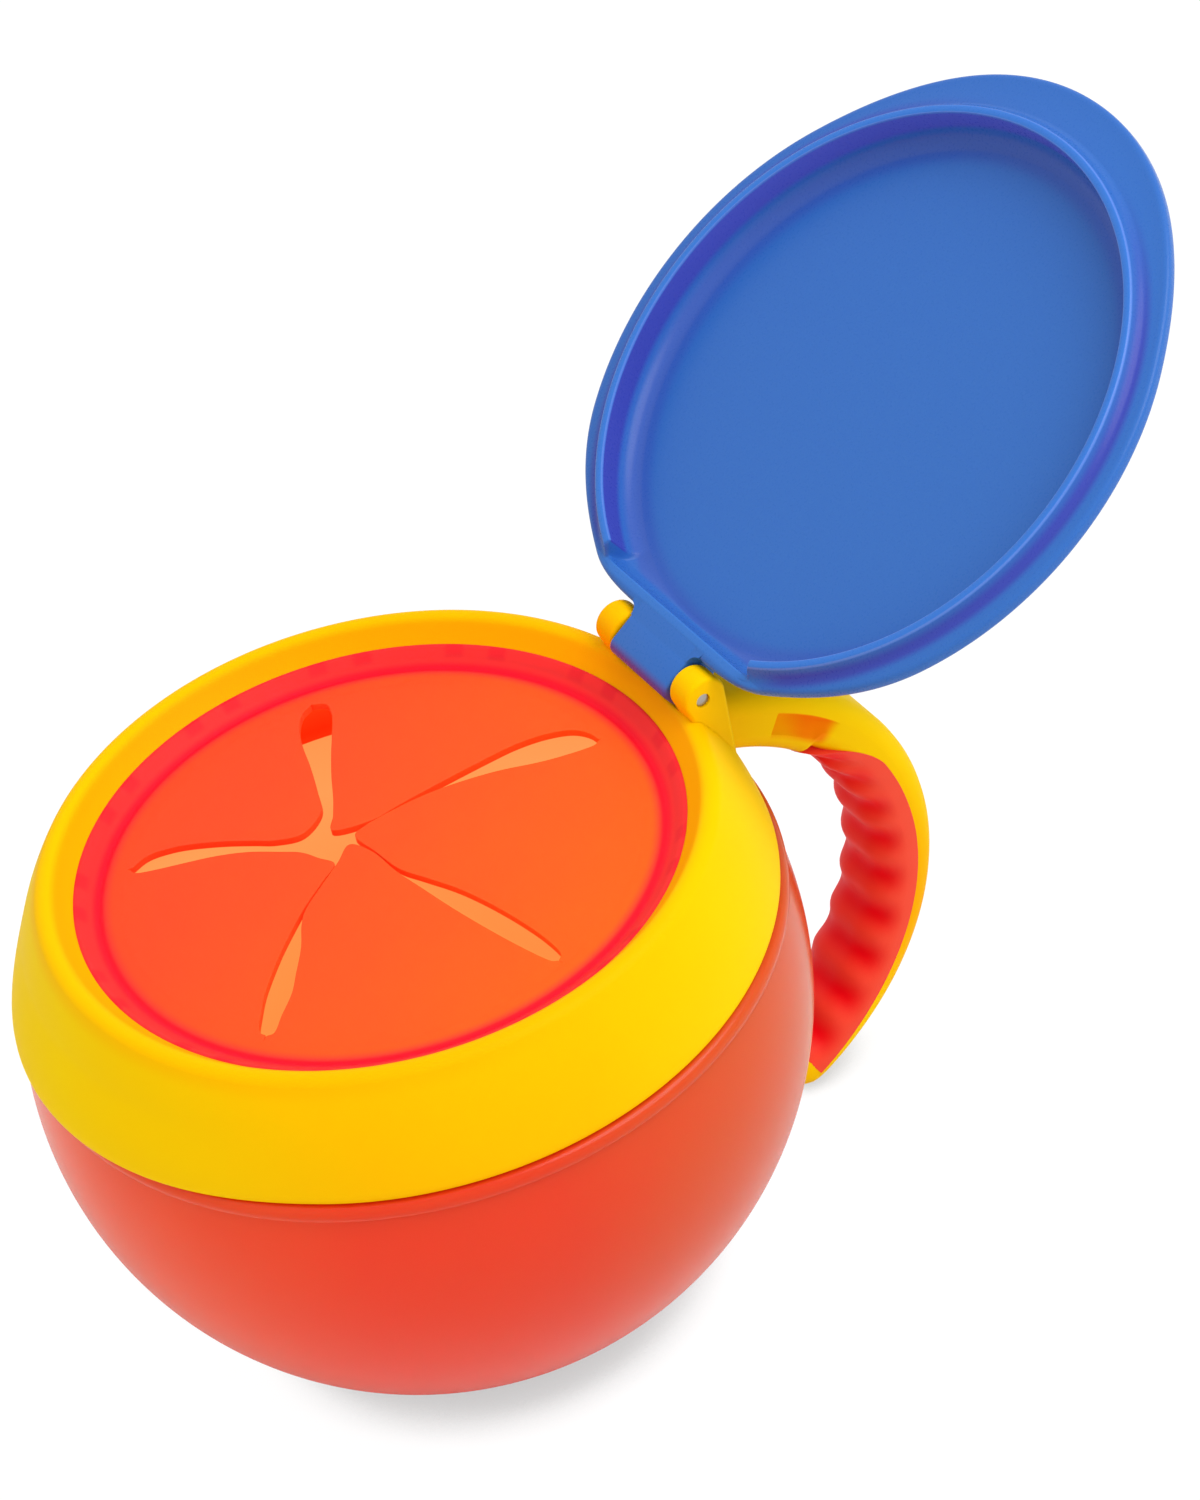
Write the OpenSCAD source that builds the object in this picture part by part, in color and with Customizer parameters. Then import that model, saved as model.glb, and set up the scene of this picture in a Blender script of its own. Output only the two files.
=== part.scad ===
// Toddler snack container: a ball-shaped bowl, a twist-off collar with a soft
// slit membrane, a hinged lid and a C-shaped handle with a soft ribbed grip.
// Millimetres. Origin at the centre of the flat base, +Z up, +X toward the
// hinge and handle. The lid is drawn open, resting on its stop.

/* [Bowl] */
// Radius of the ball that the bowl is part of
bowl_r = 51.35; // [48:0.05:56]
// Radius of the flat base
foot_r = 21.5; // [14:0.5:26]
// Length of the straight blend between base and ball
foot_blend = 14.2; // [9:0.2:20]
// Height of the seam above the widest place of the bowl
seam_rise = 14.05; // [11:0.05:18]
// Wall thickness of the bowl
bowl_wall = 2.2; // [1.6:0.1:3]
// Thickness of the base
bowl_floor = 3; // [2:0.1:5]
// Height of the bead just under the seam
bead_h = 1.9; // [1.2:0.1:2.6]
// How far the bead stands proud of the ball
bead_proud = 0.45; // [0.2:0.05:0.8]
// Wall thickness of the neck inside the collar
neck_wall = 2; // [1.5:0.1:2.4]

/* [Collar] */
// Radius of the mouth where the soft membrane begins
mouth_r = 39.5; // [37:0.1:40.5]
// Height of the mouth edge above the seam
mouth_rise = 12.7; // [11.5:0.1:15]
// Rounding radius of the rim
rim_round = 1.78; // [1.3:0.02:2]
// How far the rim's middle lies outside the mouth edge
rim_out = 3.16; // [2.8:0.02:3.6]
// How far the rim's middle lies above the mouth edge
rim_up = 0.85; // [0.6:0.05:1.4]
// Wall thickness of the collar
collar_wall = 2.1; // [1.6:0.1:2.4]
// How far the outer wall bulges beyond a straight line
collar_bulge = 0.75; // [0.3:0.05:1.5]
// How far the front thumb bulge stands out
lobe_proud = 1.8; // [1:0.1:2.4]
// How much smaller the bulge's radius is than the collar's
lobe_tighter = 5.5; // [4:0.1:8]
// Inner radius of the shelf that carries the membrane
shelf_r = 38.1; // [36.4:0.1:38.6]
// Number of moulding windows in the shelf
window_count = 13; // [9:1:17]
// Angle of one window in degrees
window_angle = 10; // [6:0.5:14]

/* [Bayonet] */
// Number of locking lugs on the neck
lug_count = 3; // [3:1:4]
// Angle of one lug in degrees
lug_angle = 42; // [24:1:44]
// How far a neck lug stands out
lug_out = 1.2; // [0.9:0.1:1.4]
// Height of a lug
lug_h = 2; // [1.5:0.1:2.4]

/* [Hinge] */
// Radius of the steel pin
pin_r = 1; // [0.8:0.05:1.25]
// How far the pin lies outside the rim's middle
hinge_out = 0.74; // [0.4:0.02:1.2]
// How far the pin lies above the rim's top
hinge_rise = 2.67; // [2.5:0.01:3.4]
// Rounding radius of the ears and half their depth
ear_r = 3.05; // [2.6:0.05:3.1]
// Thickness of one ear
ear_t = 4.1; // [3:0.1:5]
// How far the ears' middle lies behind the pin
ear_back = 0.4; // [0:0.05:0.45]
// Half the width of the lid's knuckle
knuckle_half = 6.6; // [5:0.1:9]
// Radius of the knuckle's barrel
barrel_r = 3.1; // [2.7:0.05:3.2]
// Angle of the open lid above the horizontal
open_tilt = 31.4; // [20:0.1:60]

/* [Lid] */
// Radius of the lid's round edge
lid_r = 43.9; // [42.8:0.1:46]
// Radius of the front lobe's edge
lid_lobe_r = 38.6; // [37:0.1:41]
// How far the front lobe's centre lies forward of the lid's centre
lid_lobe_shift = 8.1; // [6:0.1:9]
// Distance from the pin to the straight edge of the lid
lid_chord = 3.75; // [3.7:0.05:4.4]
// Thickness of the lid's brim and floor
lid_t = 2; // [1.4:0.1:2.4]
// Gap between the closed brim and the collar's rim
lid_gap = 0.32; // [0.3:0.02:0.6]
// Depth of the lid's dish below the brim
dish_depth = 4.15; // [3.4:0.05:5]
// Radius of the dish's flat floor
dish_floor_r = 36.6; // [34:0.1:37]
// Distance from the pin to the dish's straight edge
dish_chord = 6; // [5.6:0.1:8]
// How far the sealing ring stands above the brim
ring_h = 1.75; // [1:0.05:2]
// Thickness of the sealing ring
ring_t = 1; // [0.8:0.05:1.4]
// Angle on either side of the hinge that the sealing ring leaves free
ring_gap_angle = 26; // [22:1:34]
// How far the middle of the lid's outside is crowned
lid_crown = 0.8; // [0.2:0.1:2]

/* [Handle] */
// Angle below level at which the handle's curve meets its round lower end
arm_end = 68; // [58:0.5:76]
// How much larger the outer curve's radius is
arm_depth = 7.1; // [6.2:0.1:8.4]
// How far the inner curve's centre lies in from the outer one's
arm_shift_x = 1.6; // [0.6:0.1:2.4]
// How far the inner curve's centre lies below the outer one's
arm_shift_z = 1.2; // [0.4:0.1:2]
// How far the outer curve's centre lies inside the bowl's widest radius
arm_centre_in = 13.55; // [12:0.05:15]
// How far the outer curve's top lies below the collar's rim
arm_drop = 1.93; // [1.6:0.01:4]
// Width of the handle
arm_w = 13.5; // [11:0.5:13.8]
// Rounding radius of the handle's edges
arm_round = 2.8; // [2:0.1:3.2]
// Height of the handle's lower end above the base
arm_low = 1.62; // [1:0.02:8]
// Angle above the horizontal at which the side pockets begin
pocket_from = 43; // [40:1:46]
// Angle that the side pockets span
pocket_span = 17; // [10:1:18]
// Radial height of the side pockets
pocket_h = 4.4; // [3:0.1:4.8]
// Depth of the side pockets
pocket_depth = 2.2; // [1:0.1:3]

/* [Soft cover] */
// Thickness of the handle's soft cover
cover_t = 1.4; // [1:0.1:2]
// How far the cover reaches out over the sides of the handle
cover_reach = 5.3; // [4.4:0.1:5.8]
// Angle above the horizontal at which the cover begins
cover_start = 46; // [42:1:48]
// Slant of the cover's upper edge
cover_slant = 31; // [20:1:40]
// Angle between the cover's end and the handle's
cover_short = 4; // [3:0.5:9]
// Number of ribs
rib_count = 10; // [6:1:10]
// Angle between ribs in degrees
rib_pitch = 9.6; // [8:0.1:10]
// Radius of a rib
rib_r = 2.6; // [2:0.1:3]
// Height of the ribs above the grooves
rib_h = 0.9; // [0.5:0.05:1.2]

/* [Membrane] */
// Thickness of the membrane
membrane_t = 1; // [0.8:0.1:1.4]
// Radius of the flat middle of the membrane
disc_r = 36.1; // [35:0.1:37]
// How far the flat middle lies below the mouth edge
disc_drop = 1.8; // [1.5:0.05:2.2]
// Radius that the slits reach
slit_r = 33; // [29:0.1:33.5]
// Width of a slit
slit_w = 1.3; // [0.9:0.1:2]
// Width of a slit's round outer end
slit_end_w = 4; // [2.6:0.1:5]
// Length over which a slit widens to its round end
slit_flare = 11; // [6:0.5:14]
// Rounding radius of the petals' tips
petal_tip_r = 1.8; // [1:0.1:2.6]

/* [Hidden] */
$fn = 96;

// Running gap between pieces that turn or slide past one another
gap = 0.3;
// Radial play of the pin in the lid's bore
pin_play = 0.05;
// Overlap that makes a cut go clear through
over = 1;
petal_count = 5;

bowl_mid = sqrt(pow(bowl_r, 2) + pow(foot_blend, 2) - pow(foot_r, 2));
seam_z = bowl_mid + seam_rise;
seam_r = sqrt(pow(bowl_r, 2) - pow(seam_rise, 2));
mouth_z = seam_z + mouth_rise;
rim_x = mouth_r + rim_out;
rim_z = mouth_z + rim_up;
rim_top = rim_z + rim_round;
hinge_x = rim_x + hinge_out;
hinge_z = rim_top + hinge_rise;
ear_y = knuckle_half + gap + ear_t / 2;
half_w = arm_w / 2;

bowl_colour = "#ec5a3c";
collar_colour = "#ffd000";
soft_colour = "#f2402c";
petal_colour = "#fb6330";
lid_colour = "#3f6fc8";
pin_colour = "#aaa59b";

// Points of an arc in the plane, from angle a to angle b
function arc(c, r, a, b, n) =
  [for (i = [0:n]) c + r * [cos(a + (b - a) * i / n), sin(a + (b - a) * i / n)]];

// The list without its first point
function after_first(points) = [for (i = [1:len(points) - 1]) points[i]];

// Points from p to q on an arc that bulges to the right of their line
function bulged(p, q, bulge, n) =
  let (
    d = q - p,
    half = norm(d) / 2,
    r = (half * half + bulge * bulge) / (2 * bulge),
    m = (p + q) / 2 + (r - bulge) / (2 * half) * [-d[1], d[0]],
    a = atan2(p[1] - m[1], p[0] - m[0]),
    b = atan2(q[1] - m[1], q[0] - m[0])
  ) arc(m, r, a, b, n);

// Copies of the children turned about the vertical axis
module around(count, start) {
  for (i = [0:count - 1]) rotate(start + i * 360 / count) children();
}

// A ring sector centred on the +X direction
module ring_sector(r_in, r_out, z_low, z_high, angle) {
  rotate(-angle / 2) rotate_extrude(angle = angle)
    translate([r_in, z_low]) square([r_out - r_in, z_high - z_low]);
}

// A section turned about a crosswise axis through c = [x, z], over a span from angle a
module crosswise(c, a, span) {
  translate([c[0], 0, c[1]]) rotate([90, 0, 0]) rotate(a)
    rotate_extrude(angle = span) children();
}

// A disc with rounded edges whose axis runs crosswise through c = [x, z]
module crosswise_disc(c, r, half, edge) {
  translate([c[0], 0, c[1]]) rotate([90, 0, 0]) rotate_extrude()
    polygon(concat([[0, -half]], arc([r - edge, edge - half], edge, -90, 0, 6),
                   arc([r - edge, half - edge], edge, 0, 90, 6), [[0, half]]));
}

// Bowl, with the neck and locking lugs that the collar hides
neck_r = rim_x + 0.54;
neck_in = neck_r - neck_wall;
neck_top = mouth_z - 1.5;
neck_edge = 0.4;
bead_top = seam_z - gap;
bead_low = bead_top - bead_h;
foot_edge = 1.2;
lug_top = neck_top - 3.2;
lug_low = lug_top - lug_h;
lug_r = neck_r + lug_out;
stop_angle = 3;

module bowl_outside() {
  blend_angle = acos(bowl_r / norm([foot_r, bowl_mid])) - atan2(bowl_mid, foot_r);
  bead_x = sqrt(pow(bowl_r, 2) - pow(bead_low - bowl_mid, 2)) + bead_proud;
  foot = arc([foot_r - foot_edge, foot_edge], foot_edge, -90, -52, 4);
  ball = arc([0, bowl_mid], bowl_r, blend_angle, asin((bead_low - bowl_mid) / bowl_r), 36);
  bead = bulged([bead_x - 0.2, bead_low + 0.1], [bead_x - 0.7, bead_top], 0.3, 6);
  rotate_extrude()
    polygon(concat([[0, 0]], foot, ball, bead,
                   [[neck_r, bead_top], [neck_r, neck_top - neck_edge],
                    [neck_r - neck_edge, neck_top], [0, neck_top]]));
}

module bowl_inside() {
  r = bowl_r - bowl_wall;
  shoulder = bead_top - bowl_wall;
  ball = arc([0, bowl_mid], r, asin((bowl_floor - bowl_mid) / r),
             asin((shoulder - 2.4 - bowl_mid) / r), 36);
  rotate_extrude()
    polygon(concat([[0, bowl_floor]], ball,
                   [[neck_in, shoulder + 1.2], [neck_in, neck_top - neck_edge],
                    [neck_in + neck_edge, neck_top], [neck_in + neck_edge, neck_top + over],
                    [0, neck_top + over]]));
}

module neck_lug() {
  difference() {
    ring_sector(neck_r - over, lug_r, lug_low - lug_h, lug_top, lug_angle);
    rotate(stop_angle)
      ring_sector(neck_r - over / 2, lug_r + over, lug_low - lug_h - over, lug_low, lug_angle);
  }
}

module bowl() {
  color(bowl_colour) difference() {
    union() {
      bowl_outside();
      around(lug_count, 60) neck_lug();
    }
    bowl_inside();
  }
}

// Collar: a rolled rim over a bulging wall, a shelf for the membrane, and two ears
collar_low_r = seam_r + 0.1;
rim_turn = 31;
skin_top = [rim_x, rim_z] + rim_round * [cos(rim_turn), sin(rim_turn)];
slope_turn = 180 + atan2(rim_up, rim_out) - acos(rim_round / norm([rim_out, rim_up]));
slope_top = [rim_x, rim_z] + rim_round * [cos(slope_turn), sin(slope_turn)];
shelf_low = mouth_z - disc_drop - membrane_t;
shelf_top = mouth_z - 1.1;
shelf_lip = neck_in - 0.9;

function collar_skin(inset) =
  bulged([collar_low_r - inset, seam_z], skin_top - [inset, 0], collar_bulge, 14);

module collar_outside() {
  rim = arc([rim_x, rim_z], rim_round, rim_turn, slope_turn, 14);
  rotate_extrude()
    polygon(concat([[0, seam_z]], collar_skin(0), after_first(rim),
                   [[mouth_r, mouth_z], [0, mouth_z]]));
}

module collar_inside() {
  roof = neck_top + gap;
  wall = [for (p = collar_skin(collar_wall)) if (p[1] < roof - 0.4) [max(p[0], neck_r + gap), p[1]]];
  rotate_extrude()
    polygon(concat([[0, seam_z - over], [wall[0][0], seam_z - over]], wall,
                   [[neck_r + gap, roof], [shelf_lip, roof], [shelf_lip, shelf_low],
                    [0, shelf_low]]));
  translate([0, 0, shelf_low - over]) cylinder(r = shelf_r, h = shelf_top - shelf_low + over);
  translate([0, 0, shelf_top]) cylinder(r = mouth_r, h = 5);
  around(window_count, 180)
    ring_sector(shelf_r - over, mouth_r - 0.2, shelf_low - over, shelf_top + 0.2, window_angle);
}

module thumb_bulge() {
  back = lobe_tighter + lobe_proud;
  face = bulged([collar_low_r - lobe_tighter, seam_z], skin_top - [back + 0.3, 1],
                collar_bulge + 0.9, 12);
  difference() {
    translate([-back, 0, 0]) rotate_extrude()
      polygon(concat([[0, seam_z]], face, [[0, seam_z + 5]]));
    rotate_extrude()
      polygon(concat([[0, seam_z - over]], collar_skin(collar_wall / 2), [[0, skin_top[1]]]));
  }
}

module ear() {
  edge = 0.7;
  ear_x = hinge_x + ear_back;
  ear_low = seam_z + 4.5;
  corners = [[1, 1], [-1, 1], [-1, -1], [1, -1]];
  stem = [for (k = [0:3]) each arc([corners[k][0] * (ear_r - edge), corners[k][1] * (ear_t / 2 - edge)],
                                   edge, 90 * k, 90 * k + 90, 6)];
  crosswise_disc([ear_x, hinge_z], ear_r, ear_t / 2, edge);
  translate([ear_x, 0, ear_low]) linear_extrude(hinge_z - ear_low) polygon(stem);
}

module collar_lug() {
  ring_sector(neck_r + gap, collar_low_r - collar_wall + 0.1, lug_low - gap - lug_h,
              lug_low - gap, lug_angle - 2 * stop_angle - 1);
}

module collar() {
  color(collar_colour) {
    difference() {
      union() {
        collar_outside();
        for (side = [-1, 1]) translate([0, side * ear_y, 0]) ear();
      }
      collar_inside();
      translate([hinge_x, 0, hinge_z]) rotate([90, 0, 0]) {
        cylinder(r = barrel_r + 0.35, h = 2 * (knuckle_half + gap), center = true);
        cylinder(r = pin_r, h = 2 * (knuckle_half + ear_t + over), center = true);
      }
    }
    thumb_bulge();
    around(lug_count, 60) collar_lug();
  }
}

// Handle: the space between two round curves, cut back where the soft cover lies
arm_outer_r = (rim_top - arm_drop - arm_low) / (1 + sin(arm_end));
arm_inner_r = arm_outer_r - arm_depth;
outer_c = [bowl_r - arm_centre_in, rim_top - arm_drop - arm_outer_r];
cover_end = arm_end - cover_short;
inner_c = outer_c - [arm_shift_x, arm_shift_z];
far_r = 60;
groove_r = arm_inner_r + rib_h / 2;
crest_r = arm_inner_r - rib_h / 2;
cover_r = arm_inner_r + cover_reach;
cover_span = cover_end + cover_start + 14;
core_round = 0.65 * arm_round;

// Section outside radius r, with rounded inner edges
module section_outside(r, half, edge, r_far) {
  polygon(concat(arc([r + edge, edge - half], edge, 270, 180, 6),
                 arc([r + edge, half - edge], edge, 180, 90, 6), [[r_far, half], [r_far, -half]]));
}

// Section inside radius r, with rounded outer edges
module section_inside(r, half, edge, r_near) {
  polygon(concat([[r_near, -half]], arc([r - edge, edge - half], edge, -90, 0, 6),
                 arc([r - edge, half - edge], edge, 0, 90, 6), [[r_near, half]]));
}

module arm_shape() {
  cap_inset = 0.15;
  inner_ease = 0.1;
  end_u = [cos(arm_end), -sin(arm_end)];
  along = -arm_shift_x * end_u[0] - arm_shift_z * end_u[1];
  across = sqrt(pow(arm_shift_x, 2) + pow(arm_shift_z, 2) - pow(along, 2));
  end_in = along + sqrt(pow(arm_inner_r, 2) - pow(across, 2));
  end_r = (arm_outer_r - end_in) / 2;
  intersection() {
    crosswise(outer_c, -arm_end, arm_end + 88)
      section_inside(arm_outer_r, half_w, arm_round, arm_outer_r - 2.5 * arm_depth);
    crosswise(inner_c, -arm_end - 8, arm_end + 104)
      section_outside(arm_inner_r, half_w + inner_ease, arm_round, far_r);
  }
  crosswise_disc(outer_c + (end_in + end_r) * end_u, end_r - cap_inset, half_w - cap_inset,
                 min(arm_round, end_r - 0.6));
}

// The space above the slanted upper edge of the soft cover
module above_cover() {
  start = inner_c + arm_inner_r * [cos(cover_start), sin(cover_start)];
  translate([start[0], 0, start[1]]) rotate([0, cover_slant, 0])
    translate([-far_r, -arm_w, 0]) cube([2 * far_r, 2 * arm_w, far_r]);
}

// The hard core that the soft cover wraps
module cover_core() {
  section_outside(groove_r + cover_t, half_w - cover_t, core_round, far_r);
}

module cover_space() {
  difference() {
    crosswise(inner_c, -cover_end, cover_span) difference() {
      translate([arm_inner_r - arm_depth, -arm_w]) square([arm_depth + cover_reach, 2 * arm_w]);
      cover_core();
    }
    above_cover();
  }
}

// Everything inside the collar's outer skin
module collar_envelope() {
  rotate_extrude()
    polygon(concat([[0, seam_z - over], [collar_low_r, seam_z - over]], collar_skin(0),
                   [[0, skin_top[1]]]));
}

module side_pocket() {
  edge_land = 0.15;
  crosswise(outer_c, pocket_from, pocket_span)
    translate([arm_outer_r - arm_round - edge_land - pocket_h, half_w - pocket_depth])
      square([pocket_h, pocket_depth + over]);
}

module handle_arm() {
  color(collar_colour) difference() {
    arm_shape();
    cover_space();
    side_pocket();
    mirror([0, 1, 0]) side_pocket();
    collar_envelope();
  }
}

// Soft cover of the handle, with ribs across its inner side
module grip() {
  color(soft_colour) difference() {
    union() {
      crosswise(inner_c, -cover_end, cover_span) intersection() {
        section_outside(groove_r, half_w, arm_round, far_r);
        translate([0, -arm_w]) square([cover_r, 2 * arm_w]);
      }
      intersection() {
        crosswise(inner_c, -cover_end, cover_span)
          section_outside(crest_r, half_w, arm_round, cover_r - cover_t / 2);
        for (i = [0:rib_count - 1]) {
          rib_angle = cover_start - 9 - i * rib_pitch;
          rib_c = inner_c + (crest_r + rib_r) * [cos(rib_angle), sin(rib_angle)];
          translate([rib_c[0], 0, rib_c[1]]) rotate([90, 0, 0])
            cylinder(r = rib_r, h = arm_w + over, center = true);
        }
      }
    }
    crosswise(inner_c, -cover_end - 5, cover_end + 90) cover_core();
    above_cover();
  }
}

// Membrane: a sloping band inside the rim, and five petals between the slits
disc_z = mouth_z - disc_drop;
slit_end_r = slit_end_w / 2;
slit_end_at = slit_r - slit_end_r;
chord_at = slit_end_at * cos(180 / petal_count);
petal_hinge_x = chord_at - gap - membrane_t / 2;

// One slit from the middle outward along +X, with its wide round end
module slit_outline() {
  translate([slit_end_at, 0]) circle(r = slit_end_r);
  polygon([[-slit_w / 2, -slit_w / 2], [slit_end_at - slit_flare, -slit_w / 2], [slit_end_at, -slit_end_r],
           [slit_end_at, slit_end_r], [slit_end_at - slit_flare, slit_w / 2], [-slit_w / 2, slit_w / 2]]);
}

module membrane_ring() {
  color(soft_colour) difference() {
    union() {
      rotate_extrude()
        polygon([[0, shelf_low], [shelf_r, shelf_low], [shelf_r, shelf_top], [mouth_r, shelf_top],
                 [mouth_r, mouth_z], [mouth_r - 0.6, mouth_z - 0.1], [disc_r + 0.8, disc_z + 0.5],
                 [disc_r + 0.2, disc_z - 0.15], [disc_r - 0.4, disc_z - 0.15], [disc_r - 0.8, disc_z],
                 [0, disc_z]]);
      around(window_count, 180)
        ring_sector(shelf_r - over, mouth_r - 0.2, shelf_low, shelf_top, window_angle);
    }
    translate([0, 0, shelf_low - over]) linear_extrude(membrane_t + 2 * over) {
      circle(r = slit_end_at, $fn = petal_count);
      around(petal_count, 0) translate([slit_end_at, 0]) circle(r = slit_end_r);
    }
  }
}

// A petal whose base lies across +X
module petal() {
  side = 180 / petal_count;
  tip_at = (slit_w / 2 + petal_tip_r) / sin(side);
  tip_c = [tip_at, 0];
  touch = tip_at * cos(side) * [cos(side), sin(side)] + slit_w / 2 * [sin(side), -cos(side)];
  half_base = petal_hinge_x * tan(side);
  middle = disc_z - membrane_t / 2;
  difference() {
    union() {
      translate([0, 0, disc_z - membrane_t]) linear_extrude(membrane_t) difference() {
        polygon([[0, 0], [petal_hinge_x, -half_base], [petal_hinge_x, half_base]]);
        difference() {
          polygon([[-1, 0], [touch[0], -touch[1]], tip_c, touch]);
          translate(tip_c) circle(r = petal_tip_r);
        }
      }
      translate([petal_hinge_x, 0, middle]) rotate([90, 0, 0])
        cylinder(r = membrane_t / 2, h = 2 * half_base, center = true);
    }
    translate([0, 0, disc_z - membrane_t - over]) linear_extrude(membrane_t + 2 * over)
      for (turn = [-side, side]) rotate(turn) slit_outline();
  }
}

module petal_at(number) {
  color(petal_colour) rotate((number - 0.5) * 360 / petal_count) petal();
}

// Steel pin, its ends just below the ears' outer faces
module hinge_pin() {
  pin_length = 2 * (knuckle_half + gap + ear_t - 0.3);
  color(pin_colour) translate([hinge_x, 0, hinge_z]) rotate([90, 0, 0])
    cylinder(r = pin_r, h = pin_length, center = true);
}

// Lid, worked out closed and then swung open about the pin
brim_z = rim_top + lid_gap;
crest_z = brim_z - ring_h;
floor_z = brim_z + dish_depth;
chord_x = hinge_x - lid_chord;
slope_run = (slope_top[0] - mouth_r) / (slope_top[1] - mouth_z);
ring_out = mouth_r + (crest_z - mouth_z) * slope_run - gap - 0.08;
ring_in = ring_out - ring_t;

// A flat round plate with rounded edges, for the brim and its front lobe
module brim_plate(r) {
  edge = 0.5;
  rotate_extrude()
    polygon(concat([[0, brim_z]], arc([r - edge, brim_z + edge], edge, -90, 0, 4),
                   arc([r - edge, brim_z + lid_t - edge], edge, 0, 90, 4), [[0, brim_z + lid_t]]));
}

// The raised middle of the lid's outside, following the dish at the same thickness
module lid_raised() {
  round_r = 1.5;
  foot_r = dish_floor_r + dish_depth + (sqrt(2) - 1) * lid_t;
  flat_r = foot_r - dish_depth - (sqrt(2) - 1) * round_r;
  crown_r = (pow(flat_r, 2) + pow(lid_crown, 2)) / (2 * lid_crown);
  crown_c = [0, floor_z + lid_t + lid_crown - crown_r];
  crown = arc(crown_c, crown_r, acos(flat_r / crown_r), 89.6, 5);
  rotate_extrude()
    polygon(concat([[0, brim_z + lid_t / 2], [foot_r, brim_z + lid_t / 2], [foot_r, brim_z + lid_t]],
                   arc([flat_r, floor_z + lid_t - round_r], round_r, 45, 90, 4),
                   after_first(crown), [[0, crown[5][1]]]));
}

// The dish on the lid's inner side, straight where it meets the hinge
module lid_dish() {
  reach = dish_floor_r + dish_depth;
  intersection() {
    rotate_extrude()
      polygon([[0, brim_z - over], [reach, brim_z - over], [reach, brim_z],
               [dish_floor_r, floor_z], [0, floor_z]]);
    translate([hinge_x - dish_chord - 2 * far_r, -far_r, brim_z - 2 * over])
      cube([2 * far_r, 2 * far_r, dish_depth + 4 * over]);
  }
}

// The sealing ring and the rounded wall between it and the dish's floor
module sealing_ring() {
  fillet = ring_in - dish_floor_r;
  tip = 0.3;
  sunk = 0.15;
  section = concat([[dish_floor_r, floor_z + 0.4]],
                   arc([dish_floor_r, floor_z - fillet + sunk], fillet, 90, 0, 6),
                   arc([ring_in + tip, crest_z + tip], tip, 180, 270, 3),
                   arc([ring_out - tip, crest_z + tip], tip, 270, 360, 3),
                   [[ring_out + 0.5, brim_z], [ring_out + 0.5, brim_z + 0.9],
                    [dish_floor_r + 0.8, floor_z + 0.4]]);
  rotate(ring_gap_angle) rotate_extrude(angle = 360 - 2 * ring_gap_angle) polygon(section);
}

module knuckle_web() {
  web_top = hinge_z + barrel_r;
  web_in = chord_x - 5.2;
  translate([0, knuckle_half, 0]) rotate([90, 0, 0]) linear_extrude(2 * knuckle_half)
    polygon([[hinge_x, hinge_z], [hinge_x, web_top], [web_in, web_top], [web_in, brim_z],
             [hinge_x - 2, brim_z]]);
}

module lid_closed() {
  difference() {
    union() {
      difference() {
        union() {
          intersection() {
            union() {
              brim_plate(lid_r);
              translate([-lid_lobe_shift, 0, 0]) brim_plate(lid_lobe_r);
              lid_raised();
            }
            translate([chord_x - 2 * far_r, -far_r, 0]) cube(2 * far_r);
          }
          knuckle_web();
        }
        lid_dish();
      }
      sealing_ring();
      translate([hinge_x, 0, hinge_z]) rotate([90, 0, 0])
        cylinder(r = barrel_r, h = 2 * knuckle_half, center = true);
    }
    translate([hinge_x, 0, hinge_z]) rotate([90, 0, 0])
      cylinder(r = pin_r + pin_play, h = 2 * (knuckle_half + over), center = true);
  }
}

module lid() {
  color(lid_colour) translate([hinge_x, 0, hinge_z]) rotate([0, 180 - open_tilt, 0])
    translate([-hinge_x, 0, -hinge_z]) lid_closed();
}

bowl();
collar();
handle_arm();
grip();
membrane_ring();
petal_at(1);  // petal_1
petal_at(2);  // petal_2
petal_at(3);  // petal_3
petal_at(4);  // petal_4
petal_at(5);  // petal_5
hinge_pin();
lid();
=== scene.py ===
import math

import bmesh
import bpy
from mathutils import Matrix, Vector


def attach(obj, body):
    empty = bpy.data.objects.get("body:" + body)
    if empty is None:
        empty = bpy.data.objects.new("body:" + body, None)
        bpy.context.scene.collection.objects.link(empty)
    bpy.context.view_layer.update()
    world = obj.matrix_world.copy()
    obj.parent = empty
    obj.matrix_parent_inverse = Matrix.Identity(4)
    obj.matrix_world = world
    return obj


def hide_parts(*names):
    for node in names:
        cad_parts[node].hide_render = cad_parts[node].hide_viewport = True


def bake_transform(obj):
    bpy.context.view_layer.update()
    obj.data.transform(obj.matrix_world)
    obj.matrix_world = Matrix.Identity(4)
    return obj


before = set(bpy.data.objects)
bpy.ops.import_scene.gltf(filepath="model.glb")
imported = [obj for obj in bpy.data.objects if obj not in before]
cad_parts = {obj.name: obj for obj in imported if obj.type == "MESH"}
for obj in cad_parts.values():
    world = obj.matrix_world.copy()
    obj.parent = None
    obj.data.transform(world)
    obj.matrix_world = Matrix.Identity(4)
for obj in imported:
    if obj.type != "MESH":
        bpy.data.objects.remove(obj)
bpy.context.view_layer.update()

# Camera
# A long lens looks down at forty degrees on the open container, from the
# front and a little to one side, with the camera tilted as in the photograph.
camera_data = bpy.data.cameras.new("camera")
camera_data.lens = 103.94
camera_data.clip_start = 0.01
camera = bpy.data.objects.new("camera", camera_data)
camera.location = (-0.14094, -0.39024, 0.43286)
camera.rotation_euler = [math.radians(turn) for turn in (49.098, 9.605, -32.225)]
bpy.context.collection.objects.link(camera)
bpy.context.scene.camera = camera
bpy.context.scene.view_settings.view_transform = "Standard"


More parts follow.
